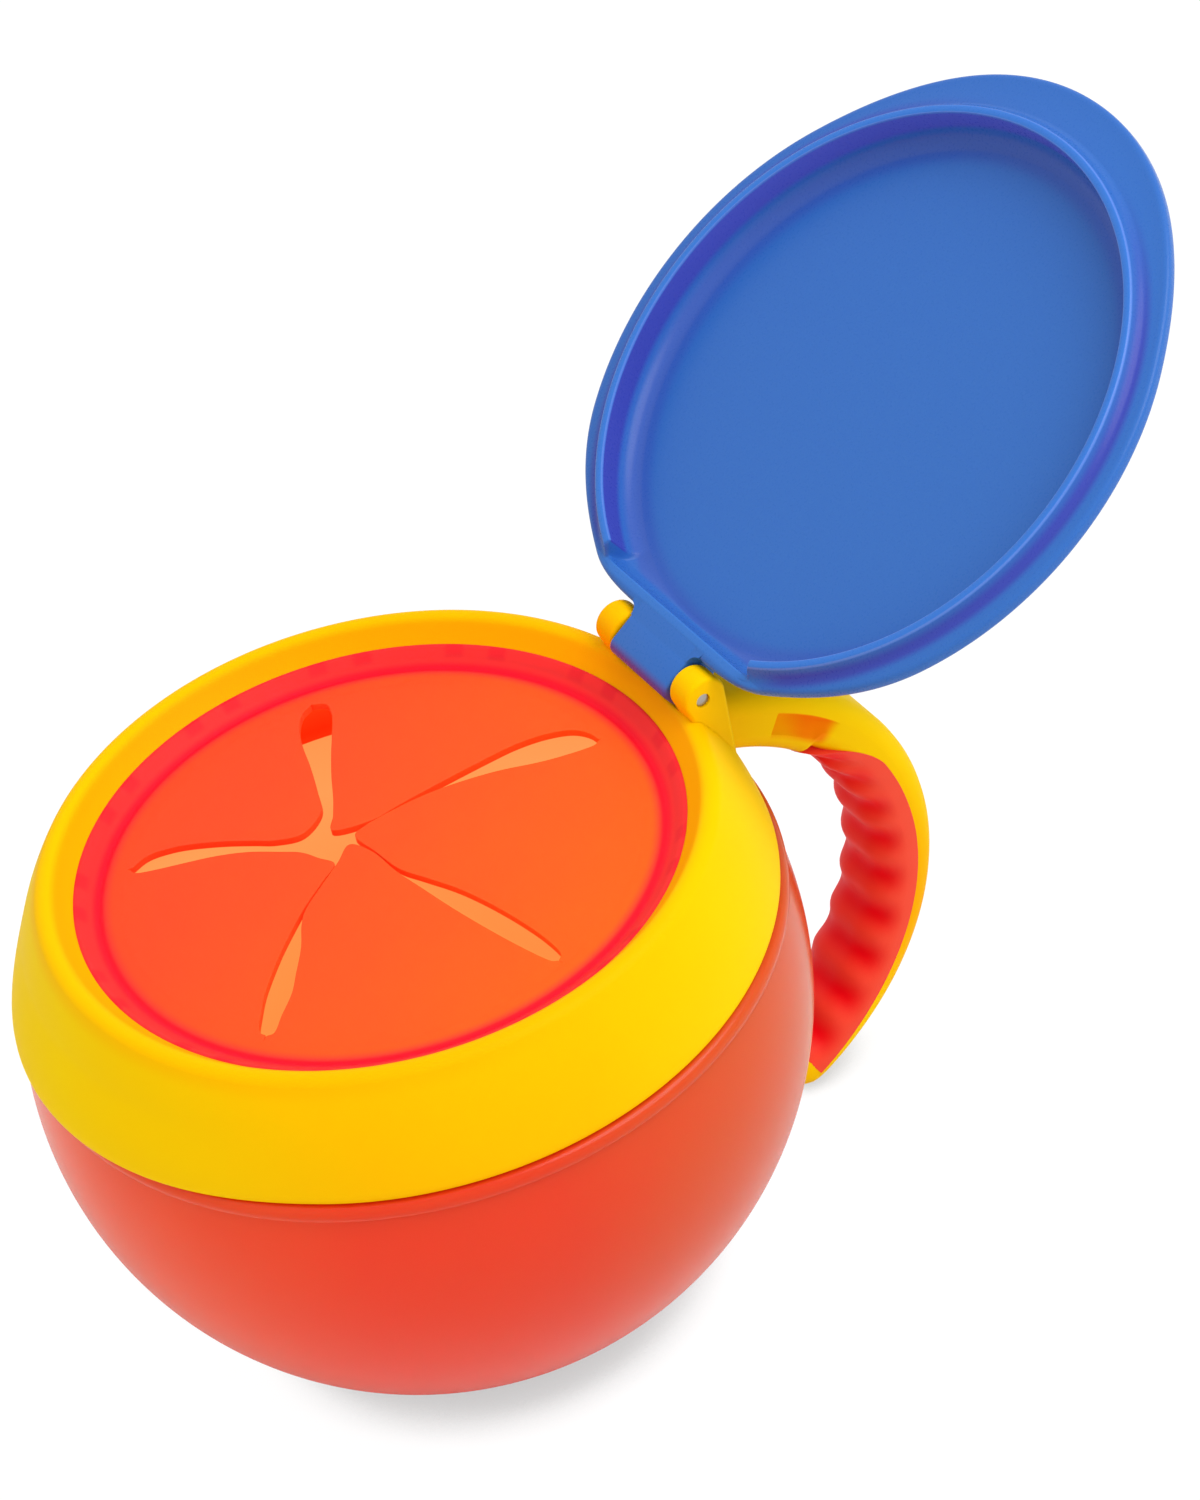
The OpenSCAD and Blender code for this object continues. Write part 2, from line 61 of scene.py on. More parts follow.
# Studio
# A white table under an even white sky, with one large soft lamp above. The
# table takes a faint shadow and is white wherever nothing shades it.
def paint(code):
    """The linear colour of a web colour code."""
    parts = [int(code[i:i + 2], 16) / 255 for i in (1, 3, 5)]
    return [p / 12.92 if p <= 0.04045 else ((p + 0.055) / 1.055) ** 2.4 for p in parts] + [1.0]


class Wire:
    """A shader socket that takes part in Python sums, each of which adds a Math node."""

    def __init__(self, tree, socket=None):
        self.tree = tree
        self.socket = socket

    def node(self, kind, settings=None, sockets=None, out=0):
        made = self.tree.nodes.new(kind)
        for name, value in (settings or {}).items():
            if name == "stops":
                while len(made.color_ramp.elements) < len(value):
                    made.color_ramp.elements.new(1.0)
                for element, (place, colour) in zip(made.color_ramp.elements, value):
                    element.position = place
                    element.color = colour
            else:
                setattr(made, name, value)
        for name, value in (sockets or {}).items():
            if isinstance(value, Wire):
                self.tree.links.new(value.socket, made.inputs[name])
            else:
                made.inputs[name].default_value = value
        return Wire(self.tree, made.outputs[out] if made.outputs else None)

    def sum(self, operation, first, second):
        return self.node("ShaderNodeMath", {"operation": operation}, {0: first, 1: second})

    def __add__(self, other):
        return self.sum("ADD", self, other)

    def __sub__(self, other):
        return self.sum("SUBTRACT", self, other)

    def __rsub__(self, other):
        return self.sum("SUBTRACT", other, self)

    def __mul__(self, other):
        return self.sum("MULTIPLY", self, other)

    __radd__ = __add__
    __rmul__ = __mul__


def fresh_tree(block):
    """Empties a material's or world's node tree and returns a wire that starts in it."""
    block.use_nodes = True
    block.node_tree.nodes.clear()
    return Wire(block.node_tree)


def seen_directly(wire):
    """1 for what the camera sees itself, in gloss or through glass, else 0."""
    path = [wire.node("ShaderNodeLightPath", out=name) for name in
            ("Is Camera Ray", "Is Glossy Ray", "Is Transmission Ray")]
    return wire.sum("MAXIMUM", wire.sum("MAXIMUM", path[0], path[1]), path[2])


SKY_LIGHT = 0.80
world = bpy.data.worlds.new("studio_sky")
bpy.context.scene.world = world
sky = fresh_tree(world)
shown = seen_directly(sky)
background = sky.node("ShaderNodeBackground", None,
                      {"Color": (1, 1, 1, 1), "Strength": SKY_LIGHT + shown * (1 - SKY_LIGHT)})
sky.node("ShaderNodeOutputWorld", None, {"Surface": background})

lamp_data = bpy.data.lights.new("soft_lamp", "AREA")
lamp_data.shape = "DISK"
lamp_data.size = 0.9
lamp_data.energy = 7.0
lamp = bpy.data.objects.new("soft_lamp", lamp_data)
lamp.location = (0.45, -0.42, 0.95)
lamp.rotation_euler = (Vector((0, 0, 0.05)) - lamp.location).to_track_quat("-Z", "Y").to_euler()
bpy.context.collection.objects.link(lamp)

table_finish = bpy.data.materials.new("white_table")
table = fresh_tree(table_finish)
seen = table.node("ShaderNodeLightPath", out="Is Camera Ray")
grain = table.node("ShaderNodeTexNoise", None,
                   {"Vector": table.node("ShaderNodeTexCoord", out="Object"), "Scale": 9.0}, "Fac")
matt = table.node("ShaderNodeBsdfDiffuse", None, {"Color": (0.86, 0.86, 0.86, 1)})
open_share = table.node("ShaderNodeAmbientOcclusion", {"samples": 16}, {"Distance": 0.012}, 1)
shade = table.node("ShaderNodeValToRGB", {"stops": [
    (0.0, (0.45, 0.45, 0.45, 1)), (0.38, (0.64, 0.64, 0.64, 1)), (0.49, (0.87, 0.87, 0.87, 1)),
    (0.64, (1, 1, 1, 1))]},
    {"Fac": open_share + (grain - 0.5) * 0.01})
glow = table.node("ShaderNodeEmission", None, {"Color": shade, "Strength": 1.06})
table.node("ShaderNodeOutputMaterial", None, {"Surface": table.node(
    "ShaderNodeMixShader", None, {0: seen * 0.92, 1: matt, 2: glow})})
bpy.ops.mesh.primitive_plane_add(size=12, location=(0, 0, -0.0001))
floor = bpy.context.object
floor.name = "table"
floor.data.materials.append(table_finish)

# Bowl
# A ball of translucent orange-red plastic with a flat foot, a bead just below
# the collar, and a plain neck that the collar hides. Blown and trimmed in one.
MM = 0.001
bowl_r, foot_r, foot_blend = 51.35, 21.5, 14.2
bowl_wall, bowl_floor = 2.2, 3.0
bowl_mid = math.sqrt(bowl_r ** 2 + foot_blend ** 2 - foot_r ** 2)
seam_z = bowl_mid + 14.05
mouth_r, mouth_z = 39.5, seam_z + 12.7
neck_r = mouth_r + 3.7
bead_top = seam_z - 0.3
bead_low = bead_top - 1.9


def arc(centre, radius, start, stop, count):
    """Points (x, z) along an arc, its angles in degrees."""
    turns = [math.radians(start + (stop - start) * i / count) for i in range(count + 1)]
    return [(centre[0] + radius * math.cos(t), centre[1] + radius * math.sin(t)) for t in turns]


def spun(profile, steps=240, closed=False):
    """A bmesh made by spinning a profile of (x, z) points in millimetres round the upright axis."""
    shape = bmesh.new()
    points = [shape.verts.new((x * MM, 0, z * MM)) for x, z in profile]
    pairs = list(zip(points, points[1:])) + ([(points[-1], points[0])] if closed else [])
    edges = [shape.edges.new(pair) for pair in pairs]
    bmesh.ops.spin(shape, geom=points + edges, cent=(0, 0, 0), axis=(0, 0, 1),
                   angle=2 * math.pi, steps=steps, use_merge=True)
    bmesh.ops.remove_doubles(shape, verts=shape.verts, dist=1e-6)
    bmesh.ops.recalc_face_normals(shape, faces=shape.faces)
    return shape


def finished(name, shape, material, crease=40):
    """Turns a bmesh into an object with smooth faces, its edges kept crisp above an angle."""
    for face in shape.faces:
        face.smooth = True
    for edge in shape.edges:
        if len(edge.link_faces) == 2:
            edge.smooth = edge.calc_face_angle(0) < math.radians(crease)
    mesh = bpy.data.meshes.new(name)
    shape.to_mesh(mesh)
    shape.free()
    mesh.materials.append(material)
    made = bpy.data.objects.new(name, mesh)
    bpy.context.collection.objects.link(made)
    return made


class Place:
    """Object coordinates in a material: the place itself and its parts in millimetres."""

    def __init__(self, wire):
        self.point = wire.node("ShaderNodeTexCoord", out="Object")
        self.x, self.y, self.z = (wire.node("ShaderNodeSeparateXYZ", None, {"Vector": self.point}, k) * 1000
                                  for k in range(3))


def step(wire, value, low, high):
    """0 below low, 1 above high and smooth between, or the other way round when low is the larger."""
    return wire.node("ShaderNodeMapRange", {"interpolation_type": "SMOOTHSTEP"},
                     {"Value": value, "From Min": min(low, high), "From Max": max(low, high),
                      "To Min": float(low > high), "To Max": float(low < high)})


def blend_paint(wire, share, first, second):
    """A mix of two colours, each a web code or a wire."""
    first, second = (paint(c) if isinstance(c, str) else c for c in (first, second))
    return wire.node("ShaderNodeMix", {"data_type": "RGBA"}, {"Factor": share, 6: first, 7: second}, 2)


def plastic(name, colours, painted_shade_axis, touches=None, roughness=0.3, specular=0.15, cloud_size=28, grain=0.000008,
            extra=None, cloudy=0.3):
    """Moulded plastic whose colour runs along a direction as painted shading, lighter and darker across the part as the
    light falls, faintly clouded and with a fine tool grain.
    """
    material = bpy.data.materials.new(name)
    wire = fresh_tree(material)
    place = Place(wire)
    cloud = wire.node("ShaderNodeTexNoise", None,
                      {"Vector": place.point, "Scale": cloud_size, "Detail": 3.0, "Roughness": 0.55}, "Fac")
    grit = wire.node("ShaderNodeTexNoise", None, {"Vector": place.point, "Scale": 2600.0, "Detail": 2.0}, "Fac")
    along = place.x * painted_shade_axis[0] + place.y * painted_shade_axis[1] + place.z * painted_shade_axis[2] + painted_shade_axis[3] + (cloud - 0.5) * cloudy
    base = wire.node("ShaderNodeValToRGB", {"stops": [(at, paint(code)) for at, code in colours]}, {"Fac": along})
    glow = None
    if touches:
        base, glow = touches(wire, place, base, cloud)
    bump = wire.node("ShaderNodeBump", None, {"Height": grit, "Distance": grain, "Strength": 0.5})
    sockets = {"Base Color": base, "Roughness": roughness + (grit - 0.5) * 0.06, "Normal": bump,
               "Specular IOR Level": specular}
    if glow:
        sockets.update({"Emission Color": glow, "Emission Strength": 1.0})
    sockets.update(extra or {})
    wire.node("ShaderNodeOutputMaterial", None,
              {"Surface": wire.node("ShaderNodeBsdfPrincipled", None, sockets)})
    return material


blend_turn = math.degrees(math.acos(bowl_r / math.hypot(foot_r, bowl_mid)) - math.atan2(bowl_mid, foot_r))
bead_x = math.sqrt(bowl_r ** 2 - (bead_low - bowl_mid) ** 2) + 0.45
inner_r = bowl_r - bowl_wall
shoulder = bead_top - bowl_wall
neck_in, neck_top = neck_r - 2.0, mouth_z - 1.5
bowl_profile = (
    [(0, 0)] + arc((foot_r - 1.2, 1.2), 1.2, -90, -50, 5)
    + arc((0, bowl_mid), bowl_r, blend_turn, math.degrees(math.asin((bead_low - bowl_mid) / bowl_r)), 64)
    + [(bead_x - 0.12, bead_low + 0.12), (bead_x, bead_low + 0.45), (bead_x - 0.05, bead_low + 1.0),
       (bead_x - 0.3, bead_top - 0.35), (bead_x - 0.75, bead_top)]
    + [(neck_r, bead_top), (neck_r, neck_top - 0.4), (neck_r - 0.4, neck_top),
       (neck_in + 0.4, neck_top), (neck_in, neck_top - 0.4), (neck_in, shoulder + 1.2)]
    + arc((0, bowl_mid), inner_r, math.degrees(math.asin((shoulder - 2.4 - bowl_mid) / inner_r)),
          math.degrees(math.asin((bowl_floor - bowl_mid) / inner_r)), 48)
    + [(0, bowl_floor)])


def bowl_touches(wire, place, base, cloud):
    """A painted glow on the inside, peach below and deep red near the neck, standing in for daylight through the wall.
    """
    out = wire.node("ShaderNodeVectorMath", {"operation": "LENGTH"}, {0: wire.node(
        "ShaderNodeVectorMath", {"operation": "SUBTRACT"}, {0: place.point, 1: (0, 0, bowl_mid * MM)})}, "Value")
    inside = step(wire, out * 1000, inner_r + 0.9, inner_r + 0.4)
    inside = wire.sum("MAXIMUM", inside, step(wire, place.z, bead_top + 0.2, bead_top + 0.3)
                      * step(wire, out * 1000, 0, 1))
    # The painted glow's colour, by height.
    height = wire.node("ShaderNodeValToRGB", {"stops": [
        (0.0, paint("#dc8838")), (0.35, paint("#de9048")), (0.6, paint("#e09c56")), (0.73, paint("#dc9450")),
        (0.78, paint("#dc2c0c")), (0.83, paint("#cc1400")), (0.88, paint("#dc2c08")), (1.0, paint("#c01000"))]},
        {"Fac": place.z * (1 / 76)})
    return base, blend_paint(wire, inside, "#000000", height)


# The colour stops are painted shading across the bowl, paler at the end away from the handle as a painted reflection.
bowl_finish = plastic(
    "bowl_plastic", [(0.0, "#ec5618"), (0.4, "#e33a10"), (0.62, "#da3a12"), (1.0, "#c85410")], (0.0083, -0.005, 0, 0.45),
    bowl_touches, 0.2, 0.24, 22, 0.000004,
    {"Subsurface Weight": 0.5, "Subsurface Radius": (1.0, 0.32, 0.1), "Subsurface Scale": 0.004})
bowl = finished("bowl_shell", spun(bowl_profile), bowl_finish, 50)
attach(bowl, "bowl")
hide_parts("bowl")

# Collar
# The yellow twist-off collar: a rolled rim over a gently bulging wall, pushed
# out at the front as a thumb rest, with two ears that carry the hinge pin.
rim_x, rim_z, rim_round = mouth_r + 3.16, mouth_z + 0.85, 1.78
collar_low_r = math.sqrt(bowl_r ** 2 - 14.05 ** 2) + 0.1
hinge_x, hinge_z = rim_x + 0.74, rim_z + rim_round + 2.67
knuckle_half, ear_t, ear_r, pin_r = 6.6, 4.1, 3.05, 1.0
arm_end = 68.0
outer_curve_r = (rim_z + rim_round - 1.93 - 1.62) / (1 + math.sin(math.radians(arm_end)))
inner_curve_r = outer_curve_r - 7.1
outer_c = Vector((bowl_r - 13.55, rim_z + rim_round - 1.93 - outer_curve_r))
inner_c = outer_c - Vector((1.6, 1.2))
pocket_from, pocket_to = 43.0, 60.0


def bulged(start, stop, bulge, count):
    """Points from start to stop on an arc that bulges to the right of their line."""
    a, b = Vector(start), Vector(stop)
    half = (b - a).length / 2
    radius = (half ** 2 + bulge ** 2) / (2 * bulge)
    side = Vector((-(b - a).y, (b - a).x)).normalized()
    centre = (a + b) / 2 + side * (radius - bulge)
    turn = [math.degrees(math.atan2((p - centre).y, (p - centre).x)) for p in (a, b)]
    return arc(centre, radius, turn[0], turn[1], count)


def ease(low, high, value):
    """0 at low, 1 at high, and smooth between."""
    t = min(max((value - low) / (high - low), 0), 1)
    return t * t * (3 - 2 * t)


def smooth_max(first, second, soft):
    """The larger of two numbers, eased where they are nearly equal."""
    close = max(soft - abs(first - second), 0) / soft
    return max(first, second) + close * close * soft / 4


rim_slope = math.degrees(math.atan2(0.85, 3.16) - math.acos(rim_round / math.hypot(3.16, 0.85))) + 180
skin_top = (rim_x + rim_round * math.cos(math.radians(31)), rim_z + rim_round * math.sin(math.radians(31)))
collar_profile = (
    [(collar_low_r - 2.0, seam_z + 0.3), (collar_low_r - 1.8, seam_z)]
    + arc((collar_low_r - 0.45, seam_z + 0.45), 0.45, -90, -12, 4)
    + bulged((collar_low_r + 0.04, seam_z + 0.9), skin_top, 0.72, 24)
    + arc((rim_x, rim_z), rim_round, 31, rim_slope, 16)[1:]
    + [(mouth_r + 0.25, mouth_z + 0.12), (mouth_r, mouth_z - 0.1), (mouth_r, mouth_z - 1.0),
       (38.1, mouth_z - 1.1), (38.1, mouth_z - 2.8), (40.3, mouth_z - 2.8), (40.3, neck_top + 0.3),
       (neck_r + 0.3, neck_top + 0.3), (neck_r + 0.5, neck_top - 2)])
ring = spun(collar_profile, 288, True)
thumb_back = 5.5 + 1.8
thumb_face = bulged((collar_low_r - 5.5, seam_z), (skin_top[0] - thumb_back - 0.3, skin_top[1] - 1), 1.65, 24)
for vert in ring.verts:
    x, y, z = vert.co / MM
    reach = math.hypot(x, y)
    if reach > neck_r + 0.6 and x < 0 and z < skin_top[1] - 1:
        bulge_r = next((p[0] + (q[0] - p[0]) * (z - p[1]) / (q[1] - p[1])
                        for p, q in zip(thumb_face, thumb_face[1:]) if p[1] <= z <= q[1]), 0)
        side = thumb_back * y / reach
        if bulge_r > abs(side):
            thumb = -thumb_back * x / reach + math.sqrt(bulge_r ** 2 - side ** 2)
            depth = max(0, reach - (collar_low_r - 2.2)) / 2.2
            target = smooth_max(reach, thumb, 0.9)
            grown = reach + (target - reach) * min(1, depth)
            vert.co.x *= grown / reach
            vert.co.y *= grown / reach
    off = math.hypot(x - hinge_x, z - hinge_z)
    if off < 3.45 and abs(y) < knuckle_half + 0.9:
        vert.co.x = (hinge_x + (x - hinge_x) * 3.45 / off) * MM
        vert.co.z = (hinge_z + (z - hinge_z) * 3.45 / off) * MM

for side in (-1, 1):
    ear = bmesh.new()
    ear_x, ear_foot = hinge_x + 0.4, seam_z + 5.5
    rounded = arc((ear_x, hinge_z), ear_r, -8, 200, 30)
    outline = [ear.verts.new((x * MM, 0, z * MM)) for x, z in
               [(ear_x + ear_r, ear_foot)] + rounded
               + [(rim_x - 1.15, hinge_z - 2.9), (rim_x - 0.7, hinge_z - 4.3), (rim_x - 0.5, ear_foot)]]
    hole = [ear.verts.new((x * MM, 0, z * MM)) for x, z in arc((hinge_x, hinge_z), pin_r + 0.02, 0, 360, 28)[1:]]
    loops = [ear.edges.new(pair) for ring_of in (outline, hole)
             for pair in zip(ring_of, ring_of[1:] + ring_of[:1])]
    bmesh.ops.triangle_fill(ear, use_beauty=True, edges=loops)
    bmesh.ops.dissolve_limit(ear, angle_limit=0.01, verts=ear.verts, edges=ear.edges)
    pushed = bmesh.ops.extrude_face_region(ear, geom=list(ear.faces))["geom"]
    bmesh.ops.translate(ear, vec=(0, side * ear_t * MM, 0),
                        verts=[v for v in pushed if isinstance(v, bmesh.types.BMVert)])
    bmesh.ops.translate(ear, vec=(0, side * (knuckle_half + 0.3) * MM, 0), verts=ear.verts)
    bmesh.ops.recalc_face_normals(ear, faces=ear.faces)
    rims = [e for e in ear.edges if e.calc_face_angle(0) > 1.2
            and all(math.hypot(v.co.x / MM - hinge_x, v.co.z / MM - hinge_z) > 2 for v in e.verts)
            and abs(e.verts[0].co.y - e.verts[1].co.y) < 1e-5]
    bmesh.ops.bevel(ear, geom=rims, offset=0.55 * MM, offset_type="OFFSET", segments=4, profile=0.5,
                    affect="EDGES", material=-1)
    part = bpy.data.meshes.new("ear")
    ear.to_mesh(part)
    ear.free()
    ring.from_mesh(part)


def collar_touches(wire, place, base, cloud):
    """Painted shade in orange: on the rim's rounded top away from the handle, on the rim's inner wall, on the handle's
    lower outer arm, and in the handle's side pockets, deeper towards their lower end.
    """
    # Painted shade on the rim's rounded top, on the side away from the handle.
    rim = (step(wire, place.z, rim_z - 1.0, rim_z + 1.2) * step(wire, place.x, 46, 42)
           * step(wire, place.x - place.y, 55, 30))
    # Painted shade on the rim's inner wall, all round.
    reach = wire.node("ShaderNodeVectorMath", {"operation": "LENGTH"}, {0: wire.node(
        "ShaderNodeCombineXYZ", None, {0: place.x, 1: place.y})}, "Value")
    inner = step(wire, reach, 42.3, 41.0) * step(wire, place.z, 78.3, 77.9)
    base = blend_paint(wire, rim * 0.55, base, "#ffb400")
    base = blend_paint(wire, inner * 0.75, base, "#ffa400")
    # Painted shade on the lower outer part of the handle arm.
    low_arm_shade = step(wire, place.x, 60, 74) * step(wire, place.z, 56, 14)
    base = blend_paint(wire, low_arm_shade * 0.8, base, "#ff9a00")
    # Painted shade in the side pockets, a deeper orange towards their lower end.
    off = (place.x - outer_c.x, place.z - outer_c.y)
    arm_reach = wire.node("ShaderNodeVectorMath", {"operation": "LENGTH"}, {0: wire.node(
        "ShaderNodeCombineXYZ", None, {0: off[0], 1: off[1]})}, "Value")
    turn = wire.sum("ARCTAN2", off[1], off[0]) * math.degrees(1)
    flank = step(wire, wire.node("ShaderNodeMath", {"operation": "ABSOLUTE"}, {0: place.y}), 3.5, 4.5)
    pocket = (flank * step(wire, turn, pocket_to, pocket_to - 0.3) * step(wire, turn, pocket_from - 1.5, 45)
              * step(wire, arm_reach, 31.6, 32.9) * step(wire, arm_reach, 36.0, 35.8))
    depth = blend_paint(wire, step(wire, turn, 57, 49), "#ffae00", "#ff8600")
    return blend_paint(wire, pocket, base, depth), None


# The colour stops are painted shading, darker in the middle of the front and lighter towards both sides.
collar_finish = plastic(
    "collar_plastic", [(0.0, "#ffd200"), (0.42, "#ffbe00"), (0.7, "#ffbc00"), (1.0, "#ffce00")], (0.0091, -0.0055, 0, 0.42),
    collar_touches, 0.45, 0.02, 22, 0.000008,
    {"Subsurface Weight": 0.2, "Subsurface Radius": (1.0, 0.7, 0.02), "Subsurface Scale": 0.0015})
collar = finished("collar_ring", ring, collar_finish, 38)
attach(collar, "collar")
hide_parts("collar")

# Handle
# The C-shaped handle, one moulding with the collar. Its outer and inner sides
# follow two circles, and each side has a shallow scooped pocket near the top.
half_w, arm_round = 6.75, 2.8
cover_start, cover_end = 46.0, arm_end - 4.0


def grow(shape, loop, places):
    """Extrudes a closed loop of vertices and moves the new loop to the given places, in millimetres."""
    edges = [shape.edges.get(pair) for pair in zip(loop, loop[1:] + loop[:1])]
    made = set(bmesh.ops.extrude_edge_only(shape, edges=edges)["geom"])
    following = []
    for old, place in zip(loop, places):
        fresh = next(e.other_vert(old) for e in old.link_edges if e.other_vert(old) in made)
        fresh.co = Vector(place) * MM
        following.append(fresh)
    return following


def first_loop(shape, places):
    """A closed loop of new vertices at the given places, in millimetres."""
    loop = [shape.verts.new(Vector(place) * MM) for place in places]
    for pair in zip(loop, loop[1:] + loop[:1]):
        shape.edges.new(pair)
    return loop


def inner_reach(direction):
    """How far the inner curve lies from the outer curve's centre in a direction, deeper under the soft cover."""
    shift = outer_c - inner_c
    along = shift.dot(direction)
    plain = -along + math.sqrt(along ** 2 - shift.length_squared + inner_curve_r ** 2)
    place = direction * plain + shift
    turn = math.degrees(math.atan2(place.y, place.x))
    return plain + (1.4 if -cover_end + 0.8 < turn < cover_start - 0.8 else 0)


def pocket_depth(turn):
    """Depth of the side pockets at an angle: steep at the upper end and running out at the lower one."""
    if not pocket_from < turn < pocket_to:
        return 0
    return 2.1 * min(1, (turn - pocket_from) / 12) ** 0.8


def arm_section(turn, squeeze=1.0, forward=0.0):
    """The handle's rounded section at an angle, as (x, y, z) places."""
    direction = Vector((math.cos(math.radians(turn)), math.sin(math.radians(turn))))
    low, high = inner_reach(direction), outer_curve_r
    middle, half = (low + high) / 2, (high - low) / 2 * squeeze
    width = half_w - arm_round * 0.8 * (1 - squeeze)
    soft = min(arm_round, half * 0.98)
    low, high = middle - half, middle + half
    top = high - soft
    room = min(3.9, max(top - low - soft, 0.1)) if squeeze == 1 else 0.02
    deep = pocket_depth(turn)
    flank = [(top - room * k, width - deep * share) for k, share in
             ((0.97, 0), (0.9, 0.2), (0.6, 0.72), (0.3, 0.95), (0.1, 1), (0.06, 0.9), (0.03, 0))]
    side = (flank + arc((top, width - soft), soft, 90, 0, 6) + [(high, 0)]
            + arc((top, soft - width), soft, 0, -90, 6) + [(r, -y) for r, y in flank[::-1]]
            + arc((low + soft, soft - width), soft, -90, -180, 6) + [(low, 0)]
            + arc((low + soft, width - soft), soft, 180, 90, 6))
    ahead = Vector((direction.y, -direction.x)) * forward
    return [(outer_c.x + direction.x * r + ahead.x, y, outer_c.y + direction.y * r + ahead.y)
            for r, y in side]


arm = bmesh.new()
turns = [84 - 1.5 * i for i in range(101)] + [-arm_end]
turns = sorted(turns + [pocket_to + 0.08, pocket_to - 0.08, pocket_to - 0.5, cover_start + 1.6,
                        -cover_end + 1.0, -cover_end + 1.2], reverse=True)
loop = start_loop = first_loop(arm, arm_section(turns[0]))
for turn in turns[1:]:
    loop = grow(arm, loop, arm_section(turn))
for lift in (18, 36, 52, 66, 78):
    loop = grow(arm, loop, arm_section(-arm_end, max(math.cos(math.radians(lift)), 0.05),
                                       3.2 * math.sin(math.radians(lift))))
arm.faces.new(loop)
arm.faces.new(start_loop[::-1])
bmesh.ops.recalc_face_normals(arm, faces=arm.faces)
handle = finished("handle_arm_shell", arm, collar_finish, 42)
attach(handle, "collar")
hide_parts("handle_arm")

# Soft grip
# Red rubber moulded over the handle's inner side and halfway round its flanks,
# with rounded ribs for small fingers and a slanted upper edge.
cover_r = inner_curve_r + 5.3
rib_pitch, rib_count, rib_h = 11.6, 10, 0.9
first_rib, last_rib = cover_start - 4.6, cover_start - 4.6 - (rib_count - 1) * rib_pitch
proud = 0.07


def grip_face(turn):
    """Radius of the grip's face at an angle: soft waves between a level start and end."""
    along = (first_rib - min(max(turn, last_rib), first_rib)) / rib_pitch
    return inner_curve_r - rib_h / 2 * math.cos(2 * math.pi * along)


def grip_section(turn, slant):
    """The grip's U-shaped section at an angle: its outer skin, then back along its inner skin."""
    plain, width = inner_curve_r - rib_h / 2, half_w + proud
    groove = grip_face(turn) - plain
    corner_turn = max(0, min(1, (turn - cover_start + 10) / 10))
    edge = cover_r - 0.9 * ease(4, -52, turn) - 2.6 * (1 - math.sqrt(1 - corner_turn ** 2))
    soft, deep = 5.2, min(4.0, edge - plain - 0.8)
    corner = []
    for lift in range(90, 181, 9):
        out, up = math.cos(math.radians(lift)), math.sin(math.radians(lift))
        sunk = groove * ease(84, 146, lift)
        corner.append((plain + deep + (deep - sunk) * out, width - soft + (soft - sunk) * up))
    half = [(edge, width), (edge - 0.4, width)] + corner + [(plain + groove, (width - soft) * 0.5)]
    inner = [(edge, 1 - width), (inner_curve_r + 3, 1 - width), (inner_curve_r + 2.2, 0),
             (inner_curve_r + 3, width - 1), (edge, width - 1)]
    places = []
    for r, y in half + [(plain + groove, 0)] + [(r, -y) for r, y in reversed(half)] + inner:
        t = math.radians(turn - slant * 17.4 * max(0, r - inner_curve_r) / 5.3)
        places.append((inner_c.x + r * math.cos(t), y, inner_c.y + r * math.sin(t)))
    return places


cover = bmesh.new()
count = int((cover_start + cover_end) / 0.4)
turns = [cover_start - (cover_start + cover_end) * i / count for i in range(count + 1)]
slants = [max(0, 1 - (cover_start - turn) / 40) for turn in turns]
loop = first_loop(cover, grip_section(turns[0], slants[0]))
cover.faces.new(loop[::-1])
for turn, slant in list(zip(turns, slants))[1:]:
    loop = grow(cover, loop, grip_section(turn, slant))
cover.faces.new(loop)
bmesh.ops.recalc_face_normals(cover, faces=cover.faces)


def grip_touches(wire, place, base, cloud):
    """Painted shade, a deeper red in the grooves of the inner face, and a painted red glow that lifts the shaded inner
    face, standing in for light through the rubber.
    """
    off = (place.x - inner_c.x, place.z - inner_c.y)
    reach = wire.node("ShaderNodeVectorMath", {"operation": "LENGTH"}, {0: wire.node(
        "ShaderNodeCombineXYZ", None, {0: off[0], 1: off[1]})}, "Value")
    turn = wire.node("ShaderNodeClamp", None, {"Value": wire.sum("ARCTAN2", off[1], off[0]) * math.degrees(1),
                                               "Min": last_rib, "Max": first_rib})
    # Painted shade deepens the red in the grooves between the ribs.
    crest = wire.node("ShaderNodeMath", {"operation": "COSINE"}, {0: (first_rib - turn) * (2 * math.pi / rib_pitch)})
    face = step(wire, reach, inner_curve_r + 4.0, inner_curve_r + 1.0)
    # The emission is a painted glow on the inner face.
    return (blend_paint(wire, (0.5 - crest * 0.5) * face, base, "#f2000e"),
            blend_paint(wire, face, "#000000", "#4c0004"))


# The colour stops are painted shading, paler towards the front flank of the grip.
grip_finish = plastic(
    "grip_rubber", [(0.0, "#ff2c1e"), (0.5, "#f83e2a"), (1.0, "#f45234")], (0.004, -0.035, 0, 0.3),
    grip_touches, 0.45, 0.12, 45, 0.00003, {"Sheen Weight": 0.05, "Sheen Roughness": 0.5})
grip = finished("grip_cover", cover, grip_finish, 50)
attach(grip, "collar")
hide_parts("grip")

# Membrane
# Soft rubber moulded into the mouth: a sloping band with a rounded foot, then a
# thin flat disc that five slits divide into petals, which have taken a set.
disc_r, disc_z, sheet_t, petal_foot_r = 36.1, mouth_z - 1.8, 1.0, 33.6
MEMBRANE_TURN = -1.3


